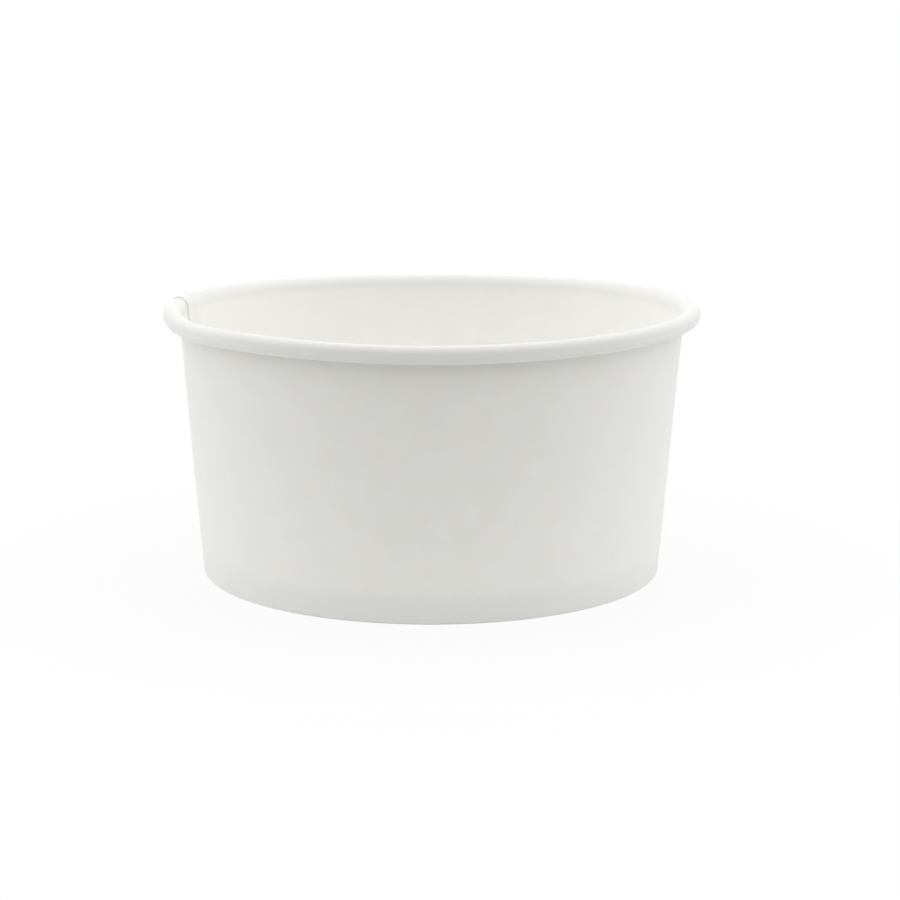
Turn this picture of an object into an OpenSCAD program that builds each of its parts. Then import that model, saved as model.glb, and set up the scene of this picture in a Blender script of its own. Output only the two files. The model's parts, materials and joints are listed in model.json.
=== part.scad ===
// Round paper bowl: one rolled side wall and one pressed-in base disc, in millimetres.
// The origin is on the table under the middle of the bowl, and Z points up.

/* [Bowl] */
// Height from the table to the top of the rim
height = 74.9; // [45:0.1:110]
// Diameter across the rolled rim
rim_d = 150; // [144:0.5:180]
// Diameter across the outside of the wall where it meets the table
foot_d = 129.7; // [110:0.1:136]

/* [Board] */
// Thickness of the side wall's board
wall_t = 0.45; // [0.25:0.05:0.6]
// Thickness of the base disc's board
base_t = 0.35; // [0.2:0.05:0.6]

/* [Rim] */
// Radius of the roll from the wall up to its crown
rim_in_r = 3; // [2.4:0.1:4]
// Radius of the roll above and below its upright land
rim_out_r = 1.9; // [1.5:0.1:3]
// Height of the upright land that a lid grips
rim_land = 1; // [0.4:0.1:3]
// Radius of the end of the roll, tucked in beside the wall
tuck_r = 1.3; // [1.2:0.05:1.4]
// Clearance between the tucked end and the wall at the lap
tuck_gap = 0.05; // [0.02:0.01:0.2]

/* [Foot] */
// Height of the underside of the base above the table
recess = 7.5; // [6:0.1:12]
// Clearance between the hem's raw edge and the bend of the base disc
hem_gap = 0.05; // [0.05:0.05:3]
// Inside radius of the corners of the pressed fold
fold_r = 0.05; // [0.02:0.01:0.08]
// Outside radius where the base disc turns down into its flange
bend_r = 0.8; // [0.65:0.05:2]
// Clearance between the flange's raw edge and the fold
flange_gap = 0.3; // [0.1:0.1:1]

/* [Seam] */
// Direction of the inner raw edge, counted from +X towards +Y
seam_az = 172; // [0:1:359]
// Width of the overlap, at mid-height
lap_w = 7.5; // [4:0.5:15]
// Width over which the sheet steps out behind the overlap
step_w = 6; // [2:0.5:15]
// Number of small steps that make up that width
step_count = 6; // [2:1:10]

/* [Hidden] */
$fn = 96;
arc_step = 12;
rim_r = rim_d / 2;
foot_r = foot_d / 2;
crown_r = rim_r - rim_out_r;

// The outer face is the line from the foot that touches the outer face of the roll
rise_c = [crown_r, height - rim_in_r];
to_rise = rise_c - [foot_r, 0];
slope = atan2(to_rise.x, to_rise.y) - asin((rim_in_r - wall_t) / norm(to_rise));
up_wall = 90 - slope;

// Widths as angles at mid-height, to a hundredth of a degree so that the ring's pieces meet exactly
mid_r = foot_r + height / 2 * tan(slope);
function as_angle(w) = round(w / mid_r * 180 / PI * 100) / 100;
lap_a = as_angle(lap_w);
step_a = as_angle(step_w / step_count);
behind_a = step_count * step_a;

// Radius at height z of the cone that lies a given depth inside the wall's outer face
function cone_r(depth, z) = foot_r + z * tan(slope) - depth / cos(slope);

// Unit vector to the right of a heading
function right(h) = [sin(h), -cos(h)];

// Stations of the sheet round a bend, each with its place, the side its thickness lies on
// and whether it is pressed. A positive radius bends to the right, a negative one to the left.
function bend(c, r, h0, h1, pressed = false, first = 0) =
    let (n = ceil(abs(h1 - h0) / arc_step))
    [for (i = [first:n]) let (h = h0 + (h1 - h0) * i / n) [c - r * right(h), right(h), pressed]];

// Levels of the base disc's upper face and of the start of its bend
base_top = recess + base_t;
bend_z = base_top - bend_r;

// Folded foot: two tight corners round the flange, with a flat land between them on the table
fold_z = wall_t + fold_r;
fold_out = [cone_r(wall_t + fold_r, fold_z), fold_z];
fold_in = fold_out - [(base_t - 2 * fold_r) / cos(slope), 0];
down_hem = up_wall - 180;
hem_z = bend_z - hem_gap;
hem_edge = [cone_r(wall_t + base_t, hem_z), hem_z];

// Rolled rim: crown, upright land, underside and tucked end
land_z = height - rim_out_r;
under_z = land_z - rim_land - rim_out_r;
tail_r = ((crown_r - foot_r) * cos(slope) - under_z * sin(slope) - wall_t - tuck_gap) / (1 + sin(slope));
tail_c = [crown_r, under_z + tail_r];
tail_h = -240;
tuck_c = tail_c + (tuck_r - tail_r) * right(tail_h);
tuck_h = -300;

// The sheet's inner face from the hem's raw edge, down round the foot, up the wall and round the rim
sheet = concat(
    [[hem_edge, right(down_hem), false]],
    bend(fold_in, -fold_r, down_hem, 0, true),
    bend(fold_out, -fold_r, 0, up_wall, true),
    bend(rise_c, rim_in_r, up_wall, 0),
    bend([crown_r, land_z], rim_out_r, 0, -90, first = 1),
    bend([crown_r, land_z - rim_land], rim_out_r, -90, -180),
    bend(tail_c, tail_r, -180, tail_h, first = 1),
    bend(tuck_c, tuck_r, tail_h, tuck_h, first = 1));

// One face of the sheet at a depth. A pressed fold never gets deeper than one board.
function face(depth, press) =
    [for (s = sheet) s[0] + [depth * s[1].x, (s[2] ? press : depth) * s[1].y]];

function turned(points) = [for (i = [len(points) - 1:-1:0]) points[i]];

// The part of the sheet's section that lies between two depths
module board(from, to) polygon(concat(face(from, 0), turned(face(to, wall_t))));

// Wall, hem and rim are one blank: a ring, two boards deep at the lap,
// where the outer board comes in from behind the inner one's raw edge
module side_wall() color("#f1f1ed") rotate([0, 0, seam_az]) {
    rotate_extrude(start = behind_a, angle = 360 - behind_a - lap_a) board(0, wall_t);
    rotate_extrude(start = -lap_a, angle = lap_a) board(0, 2 * wall_t);
    for (i = [0:step_count - 1]) {
        depth = wall_t * (step_count - i - 0.5) / step_count;
        rotate_extrude(start = i * step_a, angle = step_a) board(depth, depth + wall_t);
    }
}

// Disc turned down into a flange that fills the space between wall and hem
module base_disc() {
    bend_c = [cone_r(wall_t + bend_r, bend_z), bend_z];
    edge_z = wall_t + flange_gap;
    disc = concat(
        [[[0, base_top], right(0)]],
        bend(bend_c, bend_r, 0, down_hem),
        [[[cone_r(wall_t, edge_z), edge_z], right(down_hem)]]);
    upper = [for (s = disc) s[0]];
    lower = [for (s = disc) s[0] + base_t * s[1]];
    color("#ecebe3") rotate_extrude() polygon(concat(upper, turned(lower)));
}

side_wall();
base_disc();
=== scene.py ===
"""A plain white paper bowl with a rolled rim, and the studio that it is shown in."""

import json
import math

import bmesh
import bpy
from bpy.props import FloatProperty, FloatVectorProperty, IntProperty, PointerProperty
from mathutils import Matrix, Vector, noise

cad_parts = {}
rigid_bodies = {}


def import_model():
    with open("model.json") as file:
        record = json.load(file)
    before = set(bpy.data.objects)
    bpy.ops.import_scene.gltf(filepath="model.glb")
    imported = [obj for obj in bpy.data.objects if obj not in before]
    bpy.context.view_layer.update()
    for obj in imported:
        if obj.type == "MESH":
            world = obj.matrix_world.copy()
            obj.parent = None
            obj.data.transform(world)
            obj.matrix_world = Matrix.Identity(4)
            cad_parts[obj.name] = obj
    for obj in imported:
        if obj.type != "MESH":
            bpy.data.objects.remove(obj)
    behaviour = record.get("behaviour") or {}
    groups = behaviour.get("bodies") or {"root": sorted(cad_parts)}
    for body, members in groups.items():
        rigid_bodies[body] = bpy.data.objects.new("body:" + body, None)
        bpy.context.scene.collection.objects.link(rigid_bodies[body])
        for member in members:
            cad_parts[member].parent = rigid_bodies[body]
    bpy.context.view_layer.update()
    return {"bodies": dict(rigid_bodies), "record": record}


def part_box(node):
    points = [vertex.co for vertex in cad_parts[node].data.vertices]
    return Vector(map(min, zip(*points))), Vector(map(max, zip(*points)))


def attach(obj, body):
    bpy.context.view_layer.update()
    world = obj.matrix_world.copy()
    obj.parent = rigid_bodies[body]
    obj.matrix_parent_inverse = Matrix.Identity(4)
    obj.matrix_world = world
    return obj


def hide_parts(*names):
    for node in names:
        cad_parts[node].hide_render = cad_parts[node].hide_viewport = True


bl_info = {
    "name": "Paper Bowl",
    "version": (1, 0, 0),
    "blender": (4, 5, 0),
    "location": "3D View > Sidebar > Paper Bowl",
    "description": "Makes a rolled paper bowl, its board finishes and its studio",
    "category": "Add Mesh",
}

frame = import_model()
BODY = next(iter(frame["bodies"]))
MM = 0.001
LID_RIM = next(m for m in frame["record"]["mounts"] if m["name"] == "lid_rim")

# Fineness of the meshes
BEND_STEP = math.radians(6)
FOLD_STEP = math.radians(15)
BASE_BEND_STEP = math.radians(10)
HEM_ROWS = 8
WALL_ROWS = 36
BASE_ROWS = 24
LAP_COLUMNS = 8
WELD = 1e-7
ON_AXIS = 1e-6
SHARP = math.radians(35)

# Where the made-up bowl leaves its true section. The rim's own unevenness sets in over a short span
# below the crown, the sag is narrow because of its high power, and the press ends just above the base.
RIM_FROM, RIM_SPAN = 8 * MM, 3 * MM
SAG_POWER = 28
RIPPLE_UP, RIPPLE_OUT = 5.0, 7.0
OTHER_RIPPLE = Vector((0, 0, 5))
PRESS_ABOVE, PRESS_SPAN = 0.9 * MM, 1.2 * MM
DISH_POWER = 1.5

# Patterns in the board, each as spots per metre, detail and roughness
CLOUDS = (180.0, 3.0, 0.6)
SPECKS = (1400.0, 2.0, 0.6)
FIBRES = (2600.0, 3.0, 0.65)

# What the board's colour is multiplied by: dull or bright at random, and darker for the painted shade round
# the top of the rolled rim, with the heights over which that painted shade comes in
DULL, BRIGHT, PAINTED_RIM_SHADE = (0.97, 0.965, 0.95), (1.03, 1.035, 1.04), (0.90, 0.905, 0.93)
PAINTED_SHADE_HEIGHTS = (69.5 * MM, 72.5 * MM)
GLOW = {"Subsurface Weight": 1.0, "Subsurface Radius": (1.0, 0.97, 0.95), "Subsurface Scale": 0.34 * MM}

# Spans over which the tent's light changes. The heights are sines of the angle above the table,
# and the arcs are cosines of the angle from straight in front, or from straight behind.
FRONT_ARC, FRONT_HEIGHTS = (-0.25, 1.0), (0.15, 0.62)
BACK_ARC, BACK_HEIGHTS = (0.35, 1.0), (0.3, 0.7)
SIDE_HEIGHTS = (0.2, 0.32)
OVERHEAD_HEIGHTS = (0.8, 0.97)

# The floor's radius and, in metres from its middle, where the bowl's shadow fades out.
# The card's edge is soft from its own reach out to 1.3 times that.
FLOOR_R = 6.0
SHADOW_FADE = (0.07, 0.17)
CARD_EDGE = (1.0, 1.3)
SENSOR_MM = 36.0
WHITE = (1, 1, 1, 1)


def length(name, description, default):
    return FloatProperty(name=name, description=description, default=default, min=0.0,
                         precision=5, unit="LENGTH", subtype="DISTANCE")


def tint(name, description, default):
    return FloatVectorProperty(name=name, description=description, default=default,
                               subtype="COLOR", size=3, min=0.0, max=1.0)


class BowlSizes(bpy.types.PropertyGroup):
    """Real sizes of the bowl, with the overall ones from the frame"""

    height: length("Height", "From the table to the crown of the rim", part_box("side_wall")[1].z)
    rim_r: length("Rim radius", "To the outside of the rolled rim", LID_RIM["dims"]["r_mm"] * MM)
    foot_r: length("Foot radius", "To the outside of the wall at the table", 64.85 * MM)
    wall_t: length("Wall board", "Thickness of the side wall's board", 0.45 * MM)
    base_t: length("Base board", "Thickness of the base disc's board", 0.35 * MM)
    rim_in_r: length("Inner roll", "Radius of the roll from the wall to its crown", 3 * MM)
    rim_out_r: length("Outer roll", "Radius of the roll above and below its land", 1.9 * MM)
    rim_land: length("Rim land", "Height of the upright land of the roll", 1 * MM)
    tuck_r: length("Tuck", "Radius of the roll's hidden end", 1.3 * MM)
    tuck_gap: length("Tuck gap", "Clearance between the roll's end and the lap", 0.05 * MM)
    recess: length("Recess", "Height of the underside of the base", 7.5 * MM)
    hem_h: length("Hem", "Height of the raw edge of the folded-in hem", 7 * MM)
    fold_r: length("Fold", "Inside radius of the corners of the foot's fold", 0.05 * MM)
    bend_r: length("Base bend", "Outside radius of the base disc's bend", 0.8 * MM)
    flange_gap: length("Flange gap", "Clearance under the flange's raw edge", 0.3 * MM)
    lap_w: length("Lap", "Width of the overlap of the seam", 7.5 * MM)
    step_w: length("Step", "Width over which the board steps out behind the lap", 6 * MM)
    saddle: length("Saddle", "Rise of the rim at the left and right, and fall at the front", 0.74 * MM)
    squeeze: length("Squeeze", "Narrowing of the rim from left to right", 0.155 * MM)
    lean: length("Lean", "Sideways shift of the rim", 0.25 * MM)
    sag: length("Sag", "Fall of the rim where it was handled, at the left in front", 0.75 * MM)
    sag_az: FloatProperty(name="Sag direction", description="Where the rim is lowest",
                          default=math.radians(208), subtype="ANGLE")
    ripple: length("Ripple", "Unevenness of the rolled rim", 0.05 * MM)
    press: length("Foot press", "Depth to which the foot's layers are pressed", 0.06 * MM)
    dish: length("Dish", "Rise of the middle of the base disc", 0.35 * MM)
    seam_az: FloatProperty(name="Seam", description="Direction of the inner raw edge",
                           default=math.radians(172), subtype="ANGLE")
    turns: IntProperty(name="Stations", description="Stations round the bowl", default=336, min=32)


class BowlTints(bpy.types.PropertyGroup):
    """Colours of the board's faces"""

    outside: tint("Outside", "Uncoated outer face", (0.87, 0.87, 0.85))
    inside: tint("Inside", "Coated inner face", (0.94, 0.935, 0.90))
    edge: tint("Raw edge", "Cut edge of the board", (0.90, 0.89, 0.82))
    underside: tint("Underside", "Uncoated face under the base", (0.86, 0.855, 0.82))


# The board's section

def side(heading):
    """Unit vector to the right of a heading in the plane of radius and height."""
    return Vector((math.sin(heading), -math.cos(heading)))


def bend(centre, radius, start, end, first=0, step=BEND_STEP):
    """Stations round a bend, each a point and the side that the thickness lies on."""
    count = math.ceil(abs(end - start) / step)
    headings = [start + (end - start) * i / count for i in range(first, count + 1)]
    return [(centre - radius * side(h), side(h)) for h in headings]


class Section:
    """The side wall's inner face as stations from the hem, round the foot, up and round the rim."""

    def __init__(self, s):
        self.s = s
        crown_r = s.rim_r - s.rim_out_r
        rise_c = Vector((crown_r, s.height - s.rim_in_r))
        reach = rise_c - Vector((s.foot_r, 0))
        self.slope = math.atan2(reach.x, reach.y) - math.asin((s.rim_in_r - s.wall_t) / reach.length)
        self.up = math.pi / 2 - self.slope
        self.down = self.up - math.pi
        self.middle_r = s.foot_r + s.height / 2 * math.tan(self.slope)
        self.foot = self.fold()
        self.path = self.hem() + self.foot + self.climb(rise_c) + self.roll(crown_r)

    def cone_r(self, depth, z):
        """Radius at height z of the cone that lies a given depth inside the wall's outer face."""
        return self.s.foot_r + z * math.tan(self.slope) - depth / math.cos(self.slope)

    def hem(self):
        s = self.s
        edge = Vector((self.cone_r(s.wall_t + s.base_t, s.hem_h), s.hem_h))
        foot = Vector((self.cone_r(s.wall_t + s.base_t, 2 * s.wall_t), 2 * s.wall_t))
        return [(edge.lerp(foot, i / HEM_ROWS), side(self.down)) for i in range(HEM_ROWS + 1)]

    def fold(self):
        s = self.s
        z = s.wall_t + s.fold_r
        outer = Vector((self.cone_r(s.wall_t + s.fold_r, z), z))
        inner = outer - Vector(((s.base_t - 2 * s.fold_r) / math.cos(self.slope), 0))
        return (bend(inner, -s.fold_r, self.down, 0, step=FOLD_STEP)
                + bend(outer, -s.fold_r, 0, self.up, step=FOLD_STEP))

    def climb(self, rise_c):
        """Stations of the straight wall, which need to be there for its rise to follow the saddle."""
        s = self.s
        low = Vector((self.cone_r(s.wall_t, 2 * s.wall_t), 2 * s.wall_t))
        high = rise_c - s.rim_in_r * side(self.up)
        return ([(low.lerp(high, i / WALL_ROWS), side(self.up)) for i in range(WALL_ROWS)]
                + bend(rise_c, s.rim_in_r, self.up, 0))

    def roll(self, crown_r):
        s = self.s
        land_z = s.height - s.rim_out_r
        under_z = land_z - s.rim_land - s.rim_out_r
        room = (crown_r - s.foot_r) * math.cos(self.slope) - under_z * math.sin(self.slope)
        tail_r = (room - s.wall_t - s.tuck_gap) / (1 + math.sin(self.slope))
        tail_c = Vector((crown_r, under_z + tail_r))
        tail_h, tuck_h = math.radians(-240), math.radians(-300)
        tuck_c = tail_c + (s.tuck_r - tail_r) * side(tail_h)
        return (bend(Vector((crown_r, land_z)), s.rim_out_r, 0, -math.pi / 2, first=1)
                + bend(Vector((crown_r, land_z - s.rim_land)), s.rim_out_r, -math.pi / 2, -math.pi)
                + bend(tail_c, tail_r, -math.pi, tail_h, first=1)
                + bend(tuck_c, s.tuck_r, tail_h, tuck_h, first=1))

    def at(self, index, near, far):
        """A point of the closed section: the near face first, then the far face on the way back."""
        count = len(self.path)
        index %= 2 * count
        back = index >= count
        point, out = self.path[2 * count - 1 - index if back else index]
        depth = far if back else near
        pressed = self.s.wall_t if back else 0.0
        rise = pressed if (point, out) in self.foot else depth
        return Vector((point.x + depth * out.x, point.y + rise * out.y))


# The flat blank, rolled up

def settle(s, point, azimuth):
    """Moves a point of the true section to where the made-up bowl has it."""
    share = point.y / s.height
    wave = math.cos(2 * azimuth)
    r, z = point.x, point.y
    on_rim = max(0.0, min(1.0, (z - s.height + RIM_FROM) / RIM_SPAN))
    ring = Vector((math.cos(azimuth), math.sin(azimuth), 0.0))
    sagged = s.sag * max(0.0, math.cos(azimuth - s.sag_az)) ** SAG_POWER
    z += s.saddle * wave * share ** 2 + on_rim * (s.ripple * noise.noise(ring * RIPPLE_UP) - sagged)
    r -= s.squeeze * wave * share
    r += on_rim * s.ripple * noise.noise(ring * RIPPLE_OUT + OTHER_RIPPLE)
    pressed = max(0.0, min(1.0, (s.recess + PRESS_ABOVE - z) / PRESS_SPAN))
    r -= s.press * pressed * pressed * (3 - 2 * pressed)
    return Vector((r * ring.x + s.lean * share ** 4, r * ring.y, z))


def wall_stations(s, section):
    """Angles from the seam, each with the depths of the two faces of what is there."""
    t = s.wall_t
    lap = s.lap_w / section.middle_r
    step = s.step_w / section.middle_r
    main = 2 * math.pi - lap - step
    out = [(step + main * i / s.turns, 0.0, t) for i in range(s.turns + 1)]
    out += [(step + main + lap * i / LAP_COLUMNS, 0.0, 2 * t) for i in range(LAP_COLUMNS + 1)]
    for i in range(LAP_COLUMNS + 1):
        share = 1 - i / LAP_COLUMNS
        depth = t * share * share * (3 - 2 * share)
        out.append((2 * math.pi + step * i / LAP_COLUMNS, depth, depth + t))
    return out


def finish_mesh(name, bm, materials, body=BODY):
    """Closes the seams, sets the shading and puts the piece on its body."""
    bmesh.ops.remove_doubles(bm, verts=bm.verts, dist=WELD)
    bmesh.ops.recalc_face_normals(bm, faces=bm.faces)
    for face in bm.faces:
        face.smooth = True
    for edge in bm.edges:
        edge.smooth = len(edge.link_faces) == 2 and edge.calc_face_angle() < SHARP
    mesh = bpy.data.meshes.new(name)
    bm.to_mesh(mesh)
    bm.free()
    for material in materials:
        mesh.materials.append(material)
    piece = bpy.data.objects.new(name, mesh)
    bpy.context.scene.collection.objects.link(piece)
    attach(piece, body)
    return piece


class BOWL_OT_side_wall(bpy.types.Operator):
    """Roll the side wall from its blank, with the lap seam, the rolled rim and the hem"""

    bl_idname = "bowl.side_wall"
    bl_label = "Side wall"

    def execute(self, context):
        s = context.scene.bowl_sizes
        section = Section(s)
        stations = wall_stations(s, section)
        half = len(section.path)
        across = 2 * half
        bm = bmesh.new()
        bmesh.ops.create_grid(bm, x_segments=len(stations) - 1, y_segments=across, size=0.5)

        def cell(point):
            return (point.x + 0.5) * (len(stations) - 1), (point.y + 0.5) * across

        for face in bm.faces:
            along, over = cell(face.calc_center_median())
            here, there = stations[int(along)], stations[int(along) + 1]
            cut = here[0] == there[0] or int(over) in (half - 1, across - 1)
            face.material_index = 2 if cut else int(int(over) < half)
        for vert in bm.verts:
            along, over = cell(vert.co)
            angle, near, far = stations[round(along)]
            vert.co = settle(s, section.at(round(over), near, far), s.seam_az + angle)
        tints = context.scene.bowl_tints
        finishes = [bare_board("board_outside", tints.outside), coated_board("board_inside", tints.inside),
                    raw_edge("board_edge", tints.edge)]
        piece = finish_mesh("side_wall_board", bm, finishes)
        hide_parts("side_wall")
        return {"FINISHED"}


class BOWL_OT_base_disc(bpy.types.Operator):
    """Spin the base disc, turned down into the flange that the hem holds"""

    bl_idname = "bowl.base_disc"
    bl_label = "Base disc"

    def execute(self, context):
        s = context.scene.bowl_sizes
        section = Section(s)
        top = s.recess + s.base_t
        low = s.wall_t + s.flange_gap
        centre = Vector((section.cone_r(s.wall_t + s.bend_r, top - s.bend_r), top - s.bend_r))
        flat_r = centre.x
        face = [(Vector((flat_r * i / BASE_ROWS, top)), side(0)) for i in range(BASE_ROWS)]
        face += bend(centre, s.bend_r, 0, section.down, step=BASE_BEND_STEP)
        face.append((Vector((section.cone_r(s.wall_t, low), low)), side(section.down)))
        outline = [p for p, out in face] + [p + s.base_t * out for p, out in reversed(face)]

        def rise(radius):
            return s.dish * max(0.0, 1 - (radius / flat_r) ** 2) ** DISH_POWER

        bm = bmesh.new()
        verts = [bm.verts.new((point.x, 0.0, point.y + rise(point.x))) for point in outline]
        for a, b in zip(verts, verts[1:]):
            bm.edges.new((a, b))
        bmesh.ops.spin(bm, geom=bm.verts[:] + bm.edges[:], axis=(0, 0, 1), cent=(0, 0, 0),
                       angle=2 * math.pi, steps=s.turns, use_merge=True, use_duplicate=False)
        bmesh.ops.remove_doubles(bm, verts=bm.verts, dist=WELD)
        edge_z = low + s.base_t
        for part in bm.faces:
            middle = part.calc_center_median()
            radius = Vector((middle.x, middle.y)).length
            on_top = middle.z - rise(radius) > top - s.base_t / 2
            upper = on_top or radius > section.cone_r(s.wall_t + s.base_t / 2, middle.z)
            raw = middle.z < edge_z and abs(part.normal.z) > 0.9
            part.material_index = 2 if raw else int(not upper)
        for vert in bm.verts:
            point = Vector((Vector((vert.co.x, vert.co.y)).length, vert.co.z))
            if point.x > ON_AXIS:
                vert.co = settle(s, point, math.atan2(vert.co.y, vert.co.x))
        tints = context.scene.bowl_tints
        finishes = [coated_board("base_top", tints.inside), bare_board("base_underside", tints.underside),
                    raw_edge("base_edge", tints.edge)]
        piece = finish_mesh("base_disc_board", bm, finishes)
        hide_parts("base_disc")
        return {"FINISHED"}


# Finishes

class Field:
    """A value that changes over a surface. Sums on fields become Math nodes."""

    def __init__(self, graph, socket):
        self.graph = graph
        self.socket = socket

    def maths(self, operation, *values):
        return self.graph.add("ShaderNodeMath", {"operation": operation}, dict(enumerate(values)))

    def __add__(self, other):
        return self.maths("ADD", self, other)

    def __rsub__(self, other):
        return self.maths("SUBTRACT", other, self)

    def __mul__(self, other):
        return self.maths("MULTIPLY", self, other)

    def __truediv__(self, other):
        return self.maths("DIVIDE", self, other)

    def __pow__(self, other):
        return self.maths("POWER", self, other)

    __radd__ = __add__
    __rmul__ = __mul__

    def at_least(self, other):
        return self.maths("MAXIMUM", self, other)


class Graph:
    """Nodes of a material or of the world."""

    def __init__(self, owner):
        owner.use_nodes = True
        self.tree = owner.node_tree
        self.tree.nodes.clear()

    def add(self, kind, settings=None, inputs=None, output=0):
        node = self.tree.nodes.new(kind)
        for name, value in (settings or {}).items():
            setattr(node, name, value)
        for key, value in (inputs or {}).items():
            if isinstance(value, Field):
                self.tree.links.new(value.socket, node.inputs[key])
            else:
                node.inputs[key].default_value = value
        return Field(self, node.outputs[output]) if len(node.outputs) else node

    def place(self):
        return self.add("ShaderNodeTexCoord", output="Object")

    def axes(self, vector):
        separate = self.add("ShaderNodeSeparateXYZ", inputs={0: vector})
        return [Field(self, socket) for socket in separate.socket.node.outputs]

    def noise(self, place, per_metre, detail, roughness):
        """Soft noise about 0.5."""
        return self.add("ShaderNodeTexNoise", {}, {
            "Vector": place, "Scale": per_metre, "Detail": detail, "Roughness": roughness})

    def background_rays(self):
        """1 for the rays that see a plain white background: the camera's, and those off gloss."""
        camera = self.add("ShaderNodeLightPath", output="Is Camera Ray")
        kinds = camera.socket.node.outputs
        return camera + Field(self, kinds["Is Glossy Ray"]) + Field(self, kinds["Is Transmission Ray"])

    def mix_colours(self, factor, low, high):
        settings = {"data_type": "RGBA", "blend_type": "MIX"}
        return self.add("ShaderNodeMix", settings, {0: factor, 6: low, 7: high}, output=2)

    def ease(self, value, low, high):
        """0 below low and 1 above high, with a smooth step between."""
        settings = {"interpolation_type": "SMOOTHSTEP", "clamp": True}
        return self.add("ShaderNodeMapRange", settings, {0: value, 1: low, 2: high, 3: 0.0, 4: 1.0})


def rgba(colour, gain=(1.0, 1.0, 1.0)):
    return tuple(c * g for c, g in zip(colour, gain)) + (1.0,)


def board(name, colour, roughness, relief, gloss, rim_shade_share=0.0):
    """Bleached board that glows a little: faint clouds in its colour, felt marks and fibres in its face."""
    material = bpy.data.materials.new(name)
    material.diffuse_color = rgba(colour)
    graph = Graph(material)
    place = graph.place()
    clouds = graph.noise(place, *CLOUDS)
    specks = graph.noise(place, *SPECKS)
    mottle = clouds * 0.6 + specks * 0.4
    tone = graph.mix_colours(mottle, rgba(colour, DULL), rgba(colour, BRIGHT))
    # Painted shade: the coated face is made darker round the top of the rolled rim
    if rim_shade_share:
        on_rim = graph.ease(graph.axes(place)[2], *PAINTED_SHADE_HEIGHTS)
        tone = graph.mix_colours(on_rim * rim_shade_share, tone, rgba(colour, PAINTED_RIM_SHADE))
    fibres = graph.noise(place, *FIBRES)
    height = clouds * 0.5 + fibres * 0.5
    normal = graph.add("ShaderNodeBump", {}, {"Strength": 1.0, "Distance": relief, "Height": height})
    shader = graph.add("ShaderNodeBsdfPrincipled", {}, {
        "Base Color": tone, "Roughness": specks * 0.12 + (roughness - 0.06), "Normal": normal,
        "Specular IOR Level": gloss, **GLOW})
    graph.add("ShaderNodeOutputMaterial", {}, {"Surface": shader})
    return material


def bare_board(name, colour):
    """Uncoated face, matt."""
    return board(name, colour, roughness=0.72, relief=0.012 * MM, gloss=0.35)


def coated_board(name, colour):
    """Face with a thin food-safe film: smoother and satin, with painted shade that darkens it round the top
    of the rim.
    """
    return board(name, colour, roughness=0.5, relief=0.006 * MM, gloss=0.5, rim_shade_share=0.5)


def raw_edge(name, colour):
    """Cut edge, where the fibres show."""
    return board(name, colour, roughness=0.85, relief=0.03 * MM, gloss=0.2)


# Studio

class StudioSettings(bpy.types.PropertyGroup):
    """Camera and light of the studio"""

    camera_y: FloatProperty(name="Camera distance", description="In front of the bowl's axis",
                            default=609.17 * MM, unit="LENGTH")
    camera_z: FloatProperty(name="Camera height", description="Above the table",
                            default=156.92 * MM, unit="LENGTH")
    tilt: FloatProperty(name="Tilt", description="Camera's angle below the horizontal",
                        default=math.radians(11.502), subtype="ANGLE")
    lens: FloatProperty(name="Lens", description="Focal length in millimetres", default=87.42)
    shift: FloatProperty(name="Shift", description="Sideways shift of the lens, as a share of the frame",
                         default=19 / 900)
    top_light: FloatProperty(name="Top", description="Radiance of the tent", default=1.23)
    overhead: FloatProperty(name="Overhead", description="Share taken away straight overhead",
                            default=0.26, min=0.0, max=1.0)
    side_light: FloatProperty(name="Sides", description="Radiance added low down all round", default=0.53)
    front_dark: FloatProperty(name="Front", description="Share taken away low in front, at the camera",
                              default=0.98, min=0.0, max=1.0)
    back_dark: FloatProperty(name="Back", description="Share taken away low behind the bowl",
                             default=0.35, min=0.0, max=1.0)
    sheet: FloatProperty(name="Sheet", description="Whiteness of the strip of card under the bowl",
                         default=0.86, min=0.0, max=1.0)
    sheet_x: FloatProperty(name="Sheet to the sides", description="How far the card reaches left and right",
                           default=600 * MM, unit="LENGTH")
    sheet_y: FloatProperty(name="Sheet to the front", description="How far the card reaches front and back",
                           default=130 * MM, unit="LENGTH")
    table: FloatProperty(name="Table", description="Whiteness of the floor beyond the card",
                         default=0.42, min=0.0, max=1.0)
    shadow: FloatProperty(name="Shadow", description="Share of the floor's shadow that shows",
                          default=0.15, min=0.0, max=1.0)


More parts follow.
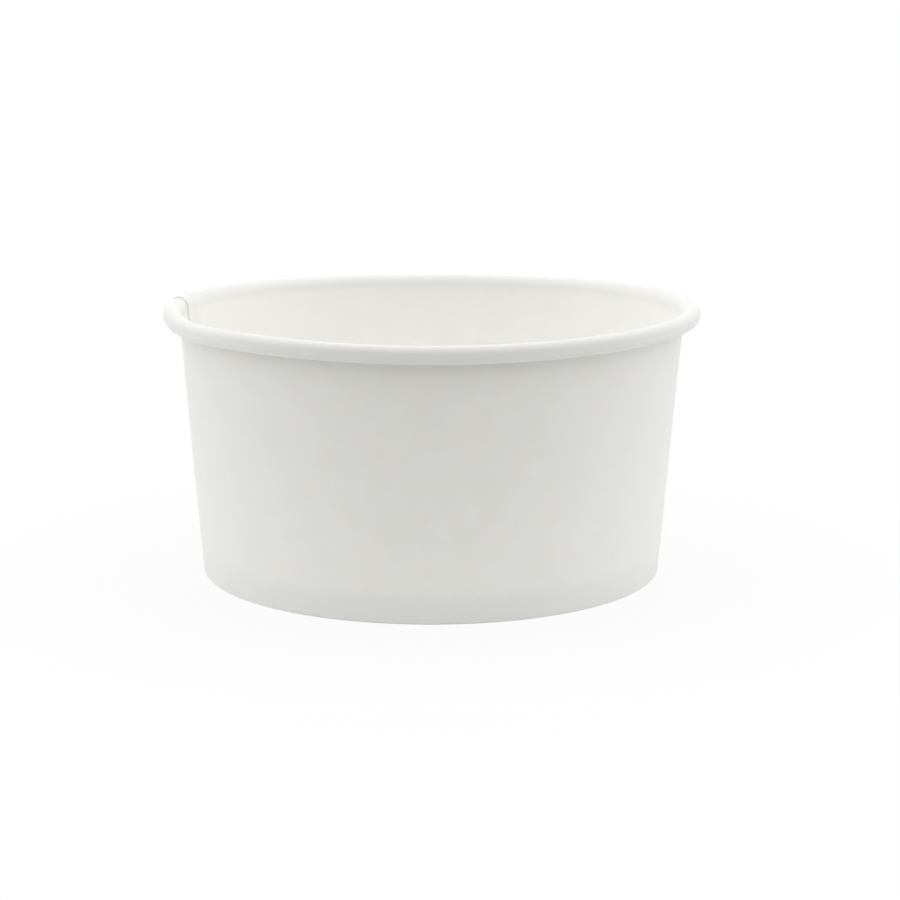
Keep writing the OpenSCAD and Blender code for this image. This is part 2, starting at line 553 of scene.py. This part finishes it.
class BOWL_OT_studio(bpy.types.Operator):
    """Add the white floor, the soft light and the camera"""

    bl_idname = "bowl.studio"
    bl_label = "Studio"

    def execute(self, context):
        studio = context.scene.bowl_studio
        self.add_floor(studio)
        self.add_light(context, studio)
        self.add_camera(context, studio)
        return {"FINISHED"}

    def add_floor(self, studio):
        bm = bmesh.new()
        bmesh.ops.create_circle(bm, cap_ends=True, segments=96, radius=FLOOR_R)
        mesh = bpy.data.meshes.new("studio_floor")
        bm.to_mesh(mesh)
        bm.free()
        material = bpy.data.materials.new("studio_white")
        graph = Graph(material)
        x, y = graph.axes(graph.place())[:2]
        out = (x * x + y * y) ** 0.5
        reach = ((x / studio.sheet_x) ** 2 + (y / studio.sheet_y) ** 2) ** 0.5
        near, far = rgba((studio.sheet,) * 3), rgba((studio.table,) * 3)
        sheet = graph.mix_colours(graph.ease(reach, *CARD_EDGE), near, far)
        card = graph.add("ShaderNodeBsdfDiffuse", {}, {"Color": sheet})
        white = graph.add("ShaderNodeEmission", {}, {"Color": WHITE, "Strength": 1.0})
        shown = (1 - graph.ease(out, *SHADOW_FADE)) * studio.shadow
        factor = graph.background_rays() * (1 - shown)
        surface = graph.add("ShaderNodeMixShader", {}, {0: factor, 1: card, 2: white})
        graph.add("ShaderNodeOutputMaterial", {}, {"Surface": surface})
        mesh.materials.append(material)
        floor = bpy.data.objects.new("studio_floor", mesh)
        bpy.context.scene.collection.objects.link(floor)

    def add_light(self, context, studio):
        """A white tent, brightest low at the sides and dim low in front, where the camera stands."""
        world = bpy.data.worlds.new("white_tent")
        context.scene.world = world
        graph = Graph(world)
        x, y, z = graph.axes(graph.add("ShaderNodeTexCoord", output="Generated"))
        ahead = (0 - y) / ((x * x + y * y) ** 0.5).at_least(0.001)
        front = graph.ease(ahead, *FRONT_ARC) * (1 - graph.ease(z, *FRONT_HEIGHTS))
        back = graph.ease(0 - ahead, *BACK_ARC) * (1 - graph.ease(z, *BACK_HEIGHTS))
        low = 1 - graph.ease(z, *SIDE_HEIGHTS)
        dim = (1 - studio.front_dark * front) * (1 - studio.back_dark * back)
        dim = dim * (1 - studio.overhead * graph.ease(z, *OVERHEAD_HEIGHTS))
        level = (studio.top_light + studio.side_light * low) * dim
        tent = graph.add("ShaderNodeBackground", {}, {"Strength": level})
        white = graph.add("ShaderNodeBackground", {}, {"Strength": 1.0})
        for shader in (tent, white):
            shader.socket.node.inputs["Color"].default_value = WHITE
        surface = graph.add("ShaderNodeMixShader", {}, {0: graph.background_rays(), 1: tent, 2: white})
        graph.add("ShaderNodeOutputWorld", {}, {"Surface": surface})

    def add_camera(self, context, studio):
        data = bpy.data.cameras.new("studio_camera")
        data.lens = studio.lens
        data.sensor_width = SENSOR_MM
        data.shift_x = studio.shift
        camera = bpy.data.objects.new("studio_camera", data)
        camera.location = (0.0, -studio.camera_y, studio.camera_z)
        camera.rotation_euler = (math.pi / 2 - studio.tilt, 0.0, 0.0)
        context.scene.collection.objects.link(camera)
        context.scene.camera = camera
        context.scene.view_settings.view_transform = "Standard"


class BOWL_PT_sidebar(bpy.types.Panel):
    """Buttons that make the bowl and its studio"""

    bl_idname = "BOWL_PT_sidebar"
    bl_label = "Paper Bowl"
    bl_space_type = "VIEW_3D"
    bl_region_type = "UI"
    bl_category = "Paper Bowl"

    def draw(self, context):
        for operator in OPERATORS:
            self.layout.operator(operator.bl_idname)


OPERATORS = (BOWL_OT_side_wall, BOWL_OT_base_disc, BOWL_OT_studio)
GROUPS = {"bowl_sizes": BowlSizes, "bowl_tints": BowlTints, "bowl_studio": StudioSettings}


def register():
    for group in GROUPS.values():
        bpy.utils.register_class(group)
    for name, group in GROUPS.items():
        setattr(bpy.types.Scene, name, PointerProperty(type=group))
    for cls in OPERATORS + (BOWL_PT_sidebar,):
        bpy.utils.register_class(cls)


def unregister():
    for cls in (BOWL_PT_sidebar,) + OPERATORS[::-1]:
        bpy.utils.unregister_class(cls)
    for name in GROUPS:
        delattr(bpy.types.Scene, name)
    for group in GROUPS.values():
        bpy.utils.unregister_class(group)


def main():
    register()
    bpy.ops.bowl.studio()
    bpy.ops.bowl.side_wall()
    bpy.ops.bowl.base_disc()
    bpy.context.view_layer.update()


if __name__ == "__main__":
    main()
